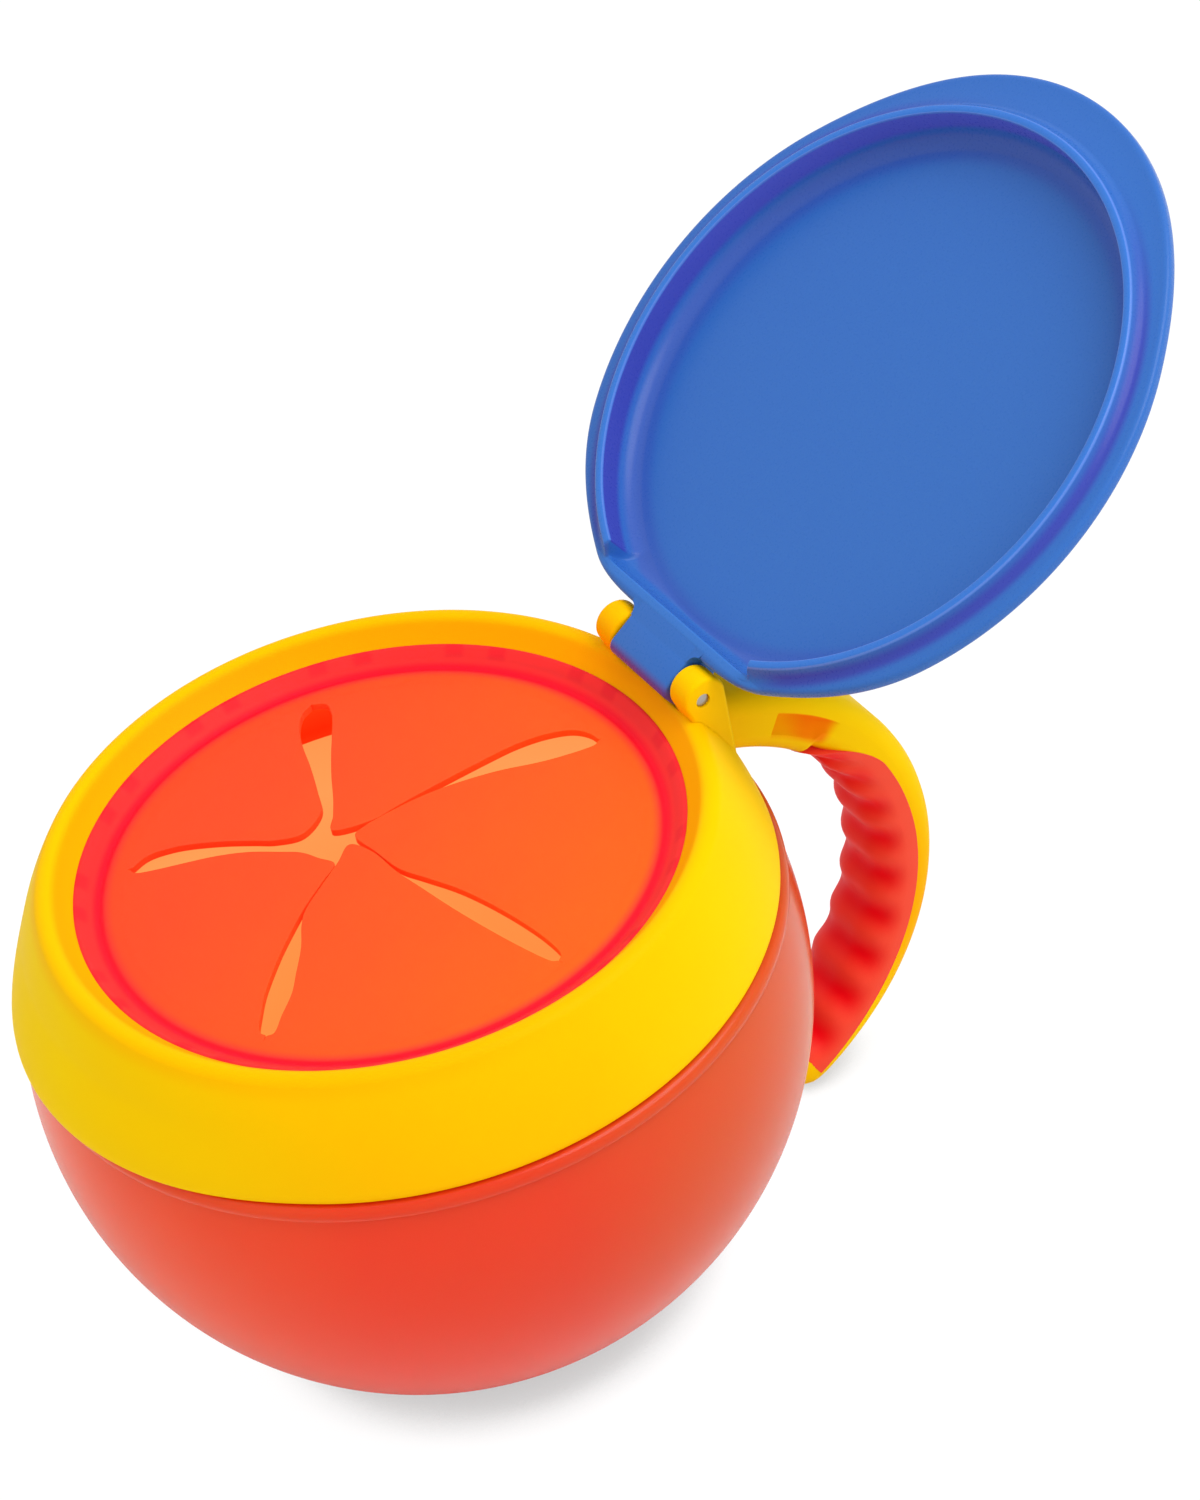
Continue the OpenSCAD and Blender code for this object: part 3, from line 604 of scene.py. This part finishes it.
def membrane_touches(wire, place, base, cloud):
    """The band is redder, with painted darker blotches standing in for the shade of the shelf's windows behind it, and
    a painted deep red shade line in the groove at its foot.
    """
    reach = wire.node("ShaderNodeVectorMath", {"operation": "LENGTH"}, {0: wire.node(
        "ShaderNodeCombineXYZ", None, {0: place.x, 1: place.y})}, "Value")
    turn = wire.sum("ARCTAN2", place.y, place.x) + math.radians(-MEMBRANE_TURN)
    wave = wire.node("ShaderNodeMath", {"operation": "COSINE"}, {0: turn * 13 + math.pi * 13})
    stripes = wire.node("ShaderNodeMath", {"operation": "COSINE"}, {0: turn * 39 + math.pi * 39})
    # Painted shade: darker blotches in a repeating pattern round the band, for the shelf's windows behind it.
    window_shade = step(wire, wave, -0.2, 0.3) * step(wire, stripes, 0.2, -0.7) * step(wire, reach, 37.6, 38.4)
    band = blend_paint(wire, window_shade * (0.3 + cloud * 0.8), "#fb3030", "#ee1c2c")
    # Painted shade along the groove at the band's foot.
    line = step(wire, wire.node("ShaderNodeMath", {"operation": "ABSOLUTE"}, {0: reach - 36.55}), 1.1, 0.25)
    band = blend_paint(wire, line, band, "#f3102a")
    return blend_paint(wire, step(wire, reach, 34.6, 36.3), base, band), None


# The colour stops are painted shading across the disc, more orange towards the front and the hinge side.
membrane_finish = plastic(
    "membrane_rubber", [(0.0, "#ff4a22"), (0.35, "#ff521e"), (1.0, "#ff6414")], (0.0086, -0.0125, 0, 0.38),
    membrane_touches, 0.5, 0.1, 40, 0.00003,
    {"Subsurface Weight": 0.3, "Subsurface Radius": (1.0, 0.35, 0.1), "Subsurface Scale": 0.0012})
band_profile = (
    [(mouth_r - 0.02, mouth_z - 1.0), (mouth_r - 0.02, mouth_z - 0.1), (mouth_r - 0.25, mouth_z),
     (mouth_r - 0.6, mouth_z - 0.15)]
    + [(disc_r + 1.9, disc_z + 0.75), (disc_r + 1.0, disc_z + 0.17), (disc_r + 0.65, disc_z - 0.08),
       (disc_r + 0.4, disc_z - 0.14), (disc_r + 0.15, disc_z - 0.08), (disc_r, disc_z - 0.02),
       (disc_r - 0.25, disc_z), (petal_foot_r, disc_z), (petal_foot_r, disc_z - sheet_t),
       (38.08, disc_z - sheet_t), (38.08, mouth_z - 1.1)])
band = finished("membrane_band", spun(band_profile, 288, True), membrane_finish, 60)
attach(band, "collar")
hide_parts("membrane_ring")

# Each petal's two edges, from the outer end of a slit to the petal's tip, as
# (x, y) places in millimetres on the disc. Edges that touch stay a hair apart.
slit_edges = {
    "a_upper": [(32.9, -0.3), (32.5, 1.9), (31.0, 4.0), (28.0, 5.6), (24.5, 6.5), (21.0, 6.8), (14.0, 7.0),
                (7.0, 7.0), (2.6, 6.9)],
    "a_lower": [(32.9, -0.3), (31.6, -0.75), (28.0, 0.2), (24.5, 1.5), (19.6, 3.8), (14.0, 5.6), (9.0, 6.5),
                (4.0, 6.7), (1.2, 6.55)],
    "b_left": [(7.9, 32.6), (5.9, 31.6), (4.0, 28.9), (2.8, 25.6), (1.7, 21.7), (0.1, 17.0), (-1.6, 13.0)],
    "b_right": [(7.9, 32.6), (9.5, 31.2), (8.9, 28.6), (7.0, 25.3), (4.9, 21.8), (2.8, 18.0), (0.8, 14.0),
                (-0.8, 11.2)],
    "c_upper": [(-26.0, 20.5), (-23.1, 21.3), (-20.3, 20.7), (-17.5, 19.3), (-14.0, 16.8), (-11.2, 14.4),
                (-8.7, 12.2)],
    "c_lower": [(-26.0, 20.5), (-25.6, 19.4), (-23.1, 18.1), (-19.6, 16.6), (-16.1, 15.0), (-12.6, 12.8),
                (-9.4, 9.9), (-7.4, 7.9)],
    "d_upper": [(-27.0, -18.4), (-27.3, -17.0), (-25.6, -14.4), (-23.1, -11.2), (-18.9, -7.0),
                (-15.4, -4.0), (-12.2, -1.5), (-8.0, 1.2), (-5.2, 3.0)],
    "d_lower": [(-27.0, -18.4), (-25.9, -18.5), (-23.8, -16.5), (-21.0, -14.0), (-18.9, -11.3),
                (-16.1, -7.6), (-14.0, -4.0), (-12.0, -1.75), (-7.9, 0.95), (-4.7, 3.0)],
    "e_left": [(7.2, -31.7), (6.3, -30.8), (4.9, -26.4), (3.5, -21.0), (2.1, -14.7), (0.95, -8.4),
               (0.1, -3.6), (-0.35, 1.5)],
    "e_right": [(7.2, -31.7), (8.1, -30.6), (8.0, -27.0), (7.5, -23.5), (6.7, -19.6), (5.6, -15.4), (4.2, -11.3),
                (2.2, -7.0), (0.6, -3.4), (-0.05, 1.5)],
}
petal_edges = [("a_upper", "b_right", (-2.2, 8.7)), ("b_left", "c_upper", (-5.4, 10.9)),
               ("c_lower", "d_upper", (-6.2, 5.4)), ("d_lower", "e_left", (-1.9, 4.9)),
               ("e_right", "a_lower", (-0.6, 5.7))]


def through(points, count=6):
    """A smooth line through points, with a few more between each two."""
    line = []
    ends = [2 * points[0] - points[1]] + points + [2 * points[-1] - points[-2]]
    for p0, p1, p2, p3 in zip(ends, ends[1:], ends[2:], ends[3:]):
        for i in range(count):
            t = i / count
            line.append(0.5 * (2 * p1 + (p2 - p0) * t + (2 * p0 - 5 * p1 + 4 * p2 - p3) * t ** 2
                               + (3 * p1 - p0 - 3 * p2 + p3) * t ** 3))
    return line + [points[-1]]


for number, (first, second, tip) in enumerate(petal_edges, 1):
    near = [Vector(p) for p in slit_edges[first]]
    far = [Vector(p) for p in slit_edges[second]]
    ends = [math.atan2(p[0].y, p[0].x) for p in (near, far)]
    if ends[1] < ends[0]:
        ends[1] += 2 * math.pi
    outer = [Vector((petal_foot_r * math.cos(t), petal_foot_r * math.sin(t))) for t in
             [ends[0] + (ends[1] - ends[0]) * i / 48 for i in range(49)]]
    inner = through(near + [Vector(tip)] + far[::-1])
    outline = outer[::-1] + inner[:-1]
    petal = bmesh.new()
    loop = first_loop(petal, [(p.x, p.y, disc_z) for p in outline])
    sheet = petal.faces.new(loop)
    bmesh.ops.recalc_face_normals(petal, faces=petal.faces)
    if sheet.normal.z < 0:
        sheet.normal_flip()
    bmesh.ops.inset_region(petal, faces=[sheet], thickness=0.25 * MM, use_even_offset=True)
    body = bmesh.ops.extrude_face_region(petal, geom=list(petal.faces))
    petal_name = "petal_%d" % number
    bmesh.ops.translate(petal, vec=(0, 0, -sheet_t * MM),
                        verts=[v for v in body["geom"] if isinstance(v, bmesh.types.BMVert)])
    bmesh.ops.triangulate(petal, faces=[f for f in petal.faces if len(f.verts) > 8])
    bmesh.ops.recalc_face_normals(petal, faces=petal.faces)
    made = finished(petal_name + "_sheet", petal, membrane_finish, 40)
    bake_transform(made)
    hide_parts(petal_name)

# Hinge pin
# A plain steel pin pressed into the ears, its chamfered ends just below them.
pin_half = knuckle_half + 0.3 + ear_t - 0.3
pin = bmesh.new()
bmesh.ops.create_cone(pin, cap_ends=True, cap_tris=False, segments=40, radius1=pin_r * 0.985 * MM,
                      radius2=pin_r * 0.985 * MM, depth=2 * pin_half * MM,
                      matrix=Matrix.Translation(Vector((hinge_x, 0, hinge_z)) * MM)
                      @ Matrix.Rotation(math.radians(90), 4, "X"))
bmesh.ops.bevel(pin, geom=[e for e in pin.edges if e.calc_face_angle(0) > 1], offset=0.15 * MM,
                offset_type="OFFSET", segments=2, profile=0.5, affect="EDGES", material=-1)
pin_finish = plastic("pin_steel", [(0.0, "#9c978e"), (1.0, "#b9b5ae")], (0, 0, 0, 0.5), None, 0.33, 0.5, 900,
                     0.00001, {"Metallic": 0.9})
steel = finished("hinge_pin_rod", pin, pin_finish, 40)
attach(steel, "collar")
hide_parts("hinge_pin")

# Lid
# The blue lid, lying open: a flat brim with a thumb lobe, a sealing ring that
# stops short of the hinge, a shallow dish, and the knuckle between the ears.
lid_r, lobe_r, lobe_shift, lid_t = 43.9, 38.6, 8.1, 2.0
brim_z = rim_z + rim_round + 0.32
crest_z, floor_z = brim_z - 1.75, brim_z + 4.15
chord_x, dish_x = hinge_x - 3.75, hinge_x - 6.0
dish_r = 36.6
ring_out = mouth_r + (crest_z - mouth_z) * 0.7657 - 0.38
ring_in = ring_out - 1.0
OPEN_TURN = math.radians(180 - 31.4)
ring_end = 24.4


def lid_outline(turn, inset):
    """Distance of the lid's outline from its centre at an angle from the hinge, in degrees."""
    a = math.radians(turn)
    lobe = -lobe_shift * math.cos(a) + math.sqrt(lobe_r ** 2 - (lobe_shift * math.sin(a)) ** 2)
    near_hinge = 1.4 * (1 - ease(26, 58, abs(turn)))
    reach = smooth_max(lobe, lid_r, 1.6) - near_hinge - inset
    straight = (chord_x - inset) / max(math.cos(a), 0.2)
    return -smooth_max(-reach, -straight, 2.0)


def dish_line(turn, radius, straight_x):
    """Distance of a line that is round at the sides and straight at the hinge."""
    straight = straight_x / max(math.cos(math.radians(turn)), 0.2)
    return -smooth_max(-radius, -straight, 0.6)


def on_ring(turn):
    """1 where the sealing ring stands, 0 in the gap at the hinge."""
    return ease(ring_end - 0.5, ring_end + 0.9, abs(turn))


turns = sorted({round(t, 3) for t in [k * 0.6 for k in range(-70, 71)] + [42 + k * 1.2 for k in range(116)]
                + [-42 - k * 1.2 for k in range(116)]
                + [side * (ring_end - 0.6 + k * 0.2) for k in range(9) for side in (-1, 1)]
                if -180 < t <= 180})
rows = []


def row(reach, height):
    rows.append([(reach(t) * math.cos(math.radians(t)), reach(t) * math.sin(math.radians(t)), height(t))
                 for t in turns])


wall_in = lambda t: on_ring(t) * ring_in + (1 - on_ring(t)) * dish_line(t, ring_out + 0.5, dish_x)
crest = lambda t: brim_z + on_ring(t) * (crest_z - brim_z)
for reach in (8, 20, 30):
    row(lambda t, reach=reach: reach, lambda t: floor_z)
row(lambda t: dish_line(t, dish_r - 0.6, dish_x - 1.0), lambda t: floor_z)
row(lambda t: dish_line(t, dish_r, dish_x - 0.7), lambda t: floor_z)
for k in (18, 36, 54, 72, 90):
    lift = math.radians(k)
    out, up = math.sin(lift), 1 - math.cos(lift)
    row(lambda t, out=out: dish_line(t, dish_r, dish_x - 0.7)
        + (wall_in(t) - dish_line(t, dish_r, dish_x - 0.7)) * out,
        lambda t, up=up: floor_z - up * (2.6 * on_ring(t) + (1 - on_ring(t)) * 3.75))
row(wall_in, lambda t: crest(t) + 0.35)
row(lambda t: wall_in(t) + 0.1, lambda t: crest(t) + 0.1)
row(lambda t: wall_in(t) + 0.3, crest)
row(lambda t: wall_in(t) + 0.4 + on_ring(t) * 0.55, crest)
row(lambda t: wall_in(t) + 0.5 + on_ring(t) * 0.6, lambda t: crest(t) + 0.08 * on_ring(t))
row(lambda t: wall_in(t) + 0.6 + on_ring(t) * 0.6, lambda t: crest(t) + 0.3 * on_ring(t))
for share in (0.25, 0.5, 0.75, 1.0):
    row(lambda t, share=share: wall_in(t) + 0.65 + 0.3 * share + on_ring(t) * (0.6 + share ** 1.6 * 0.9),
        lambda t, share=share: brim_z - on_ring(t) * (brim_z - crest_z - 0.3) * (1 - share) ** 1.4)
for inset, lift in ((0.9, 0.0), (0.5, 0.04), (0.2, 0.18), (0.05, 0.4), (0.0, 0.7), (0.0, 1.3), (0.06, 1.6),
                    (0.22, 1.84), (0.55, 2.0)):
    row(lambda t, inset=inset: lid_outline(t, inset), lambda t, lift=lift: brim_z + lift)
foot_line = dish_r + 4.15 + 0.83
for inset, lift in ((0.0, 2.0), (-0.12, 2.1)):
    row(lambda t, inset=inset: dish_line(t, foot_line + 0.3 + inset, chord_x - 0.6), lambda t, lift=lift: brim_z + lift)
for k in (0.35, 0.7):
    row(lambda t, k=k: dish_line(t, foot_line - 4.2 * k, chord_x - 0.62), lambda t, k=k: brim_z + 2.15 + 3.1 * k)
row(lambda t: dish_line(t, foot_line - 3.9, chord_x - 0.8), lambda t: floor_z + 1.55)
row(lambda t: dish_line(t, foot_line - 4.5, chord_x - 1.2), lambda t: floor_z + 1.9)
row(lambda t: dish_line(t, foot_line - 5.4, chord_x - 2.0), lambda t: floor_z + 2.02)
for reach in (28, 18, 8):
    row(lambda t, reach=reach: reach, lambda t, reach=reach: floor_z + 2.0 + 0.8 * (1 - (reach / 36) ** 2))
lid = bmesh.new()
loop = start_loop = first_loop(lid, rows[0])
for places in rows[1:]:
    loop = grow(lid, loop, places)
for ring_of in (start_loop, loop):
    hub = bmesh.ops.extrude_edge_only(lid, edges=[lid.edges.get(pair) for pair in
                                                 zip(ring_of, ring_of[1:] + ring_of[:1])])["geom"]
    hub = [v for v in hub if isinstance(v, bmesh.types.BMVert)]
    height = sum(v.co.z for v in hub) / len(hub)
    bmesh.ops.pointmerge(lid, verts=hub, merge_co=(0, 0, height + (0.02 * MM if ring_of is loop else 0)))


# The knuckle is a block whose face runs on from the brim and rounds over at the
# front, with a hollow curve at each side of its root for the ears.
block = ([(chord_x - 0.9, brim_z - 0.015), (hinge_x + 1.4, brim_z - 0.015)]
         + arc((hinge_x + 1.5, brim_z + 1.5), 1.5, -90, 0, 8) + [(hinge_x + 3.0, hinge_z + 0.8)]
         + arc((hinge_x, hinge_z), 3.1, 15, 90, 10) + [(chord_x - 1.4, hinge_z + 3.1), (chord_x - 1.4, brim_z + 0.3)])
root = [(chord_x - 1.0, -8.2)] + arc((chord_x + 1.35, -knuckle_half - 1.4), 1.4, 172, 90, 8)
root += [(x, -y) for x, y in reversed(root)]
for outline, upright, size in ((block, False, 2 * knuckle_half), (root, True, hinge_z - 0.5 - brim_z)):
    part = bmesh.new()
    if upright:
        loop = [part.verts.new((x * MM, y * MM, (brim_z - 0.012) * MM)) for x, y in outline]
    else:
        loop = [part.verts.new((x * MM, -knuckle_half * MM, z * MM)) for x, z in outline]
    part.faces.new(loop)
    pushed = bmesh.ops.extrude_face_region(part, geom=list(part.faces))["geom"]
    bmesh.ops.translate(part, vec=Vector((0, 0, size) if upright else (0, size, 0)) * MM,
                        verts=[v for v in pushed if isinstance(v, bmesh.types.BMVert)])
    bmesh.ops.recalc_face_normals(part, faces=part.faces)
    if not upright:
        bmesh.ops.bevel(part, geom=[e for e in part.edges if e.calc_face_angle(0) > 1.3
                                    and abs(e.verts[0].co.y - e.verts[1].co.y) < 1e-6
                                    and max(v.co.x for v in e.verts) > (chord_x + 1.5) * MM],
                        offset=0.4 * MM, offset_type="OFFSET", segments=3, profile=0.5, affect="EDGES",
                        material=-1)
    joined = bpy.data.meshes.new("knuckle")
    part.to_mesh(joined)
    part.free()
    lid.from_mesh(joined)
bmesh.ops.recalc_face_normals(lid, faces=lid.faces)
bmesh.ops.rotate(lid, cent=Vector((hinge_x, 0, hinge_z)) * MM,
                 matrix=Matrix.Rotation(OPEN_TURN, 3, "Y"), verts=lid.verts)


def lid_touches(wire, place, base, cloud):
    """The blue carries painted light and shade: painted violet shade on the ring's inner wall and outer side, painted
    shade in the cove and along the floor's edge, painted highlights along the ring's crest and its edges and along the
    hinge strip, and painted violet shade on the knuckle's front.
    """
    closed = wire.node("ShaderNodeMapping", {"vector_type": "POINT"}, {
        "Vector": place.point, "Rotation": (0, -OPEN_TURN, 0),
        "Location": hinge - Matrix.Rotation(-OPEN_TURN, 3, "Y") @ hinge})
    x, y, z = (wire.node("ShaderNodeSeparateXYZ", None, {"Vector": closed}, k) * 1000 for k in range(3))
    reach = wire.node("ShaderNodeVectorMath", {"operation": "LENGTH"}, {0: wire.node(
        "ShaderNodeCombineXYZ", None, {0: x, 1: y})}, "Value")
    turn = wire.node("ShaderNodeMath", {"operation": "ABSOLUTE"},
                     {0: wire.sum("ARCTAN2", y, x) * math.degrees(1)})
    # Painted violet-blue shading in the cove between the dish's floor and the ring.
    cove = step(wire, reach, 36.4, 36.8) * step(wire, reach, 39.2, 38.2) * step(wire, x, 36.8, 36.0)
    base = blend_paint(wire, cove, base, "#3c5fb4")
    # Painted shade along the edge of the dish's floor.
    floor_edge_shade = step(wire, reach, 34.2, 36.3) * step(wire, reach, 36.8, 36.5)
    base = blend_paint(wire, floor_edge_shade * 0.6, base, "#3a58b4")
    ring_zone = step(wire, turn, ring_end - 0.4, ring_end + 0.4)
    # Painted violet shade on the ring's inner wall, lighter on one side of the lid.
    wall = step(wire, reach, 38.3, 38.8) * step(wire, z, crest_z + 0.1, crest_z + 0.5) * step(
        wire, z, 81.0, 79.8) * step(wire, reach, 39.3, 39.15) * ring_zone
    base = blend_paint(wire, wall, base, blend_paint(wire, step(wire, turn, 60, 130), "#3d48ae", "#5560cc"))
    # Painted violet shade on the ring's outer side.
    hollow = (step(wire, reach, 40.1, 40.9) * step(wire, reach, 42.6, 41.3)
              * step(wire, turn, ring_end, ring_end + 9) * step(wire, turn, 165, 120) * 0.8)
    base = blend_paint(wire, hollow * step(wire, z, 79.5, 78.8), base, "#3b3aa8")
    # Painted highlight along the ring's crest.
    crest = step(wire, z, crest_z + 0.45, crest_z + 0.2) * ring_zone
    base = blend_paint(wire, crest, base, "#3574cc")
    # Painted highlights along the crest's two edges.
    crest_highlight = step(wire, wire.node("ShaderNodeMath", {"operation": "ABSOLUTE"}, {0: reach - 39.65}), 0.38, 0.5)
    base = blend_paint(wire, crest * crest_highlight * 0.6, base, "#6c8cdc")
    # Painted highlight along the ridge of the hinge strip.
    strip = step(wire, x, 37.4, 37.6) * step(wire, x, 38.9, 38.3) * step(wire, z, brim_z + 0.5, brim_z + 0.2)
    base = blend_paint(wire, strip * 0.7, base, "#3878cc")
    # Painted violet shade on the knuckle's front.
    front = step(wire, x, hinge_x + 1.2, hinge_x + 2.6)
    return blend_paint(wire, front * 0.7, base, "#6a3a90"), None


hinge = Vector((hinge_x, 0, hinge_z)) * MM
# The colour stops are painted shading, a little lighter towards one side of the lid.
lid_finish = plastic(
    "lid_plastic", [(0.0, "#336bbb"), (0.5, "#2e67bc"), (1.0, "#2863be")], (-0.006, 0.004, 0.012, -0.6),
    lid_touches, 0.28, 0.2, 18, 0.000006,
    {"Subsurface Weight": 0.08, "Subsurface Radius": (0.3, 0.5, 1.0), "Subsurface Scale": 0.001}, 0.0)
cap = finished("lid_shell", lid, lid_finish, 38)
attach(cap, "lid")
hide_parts("lid")
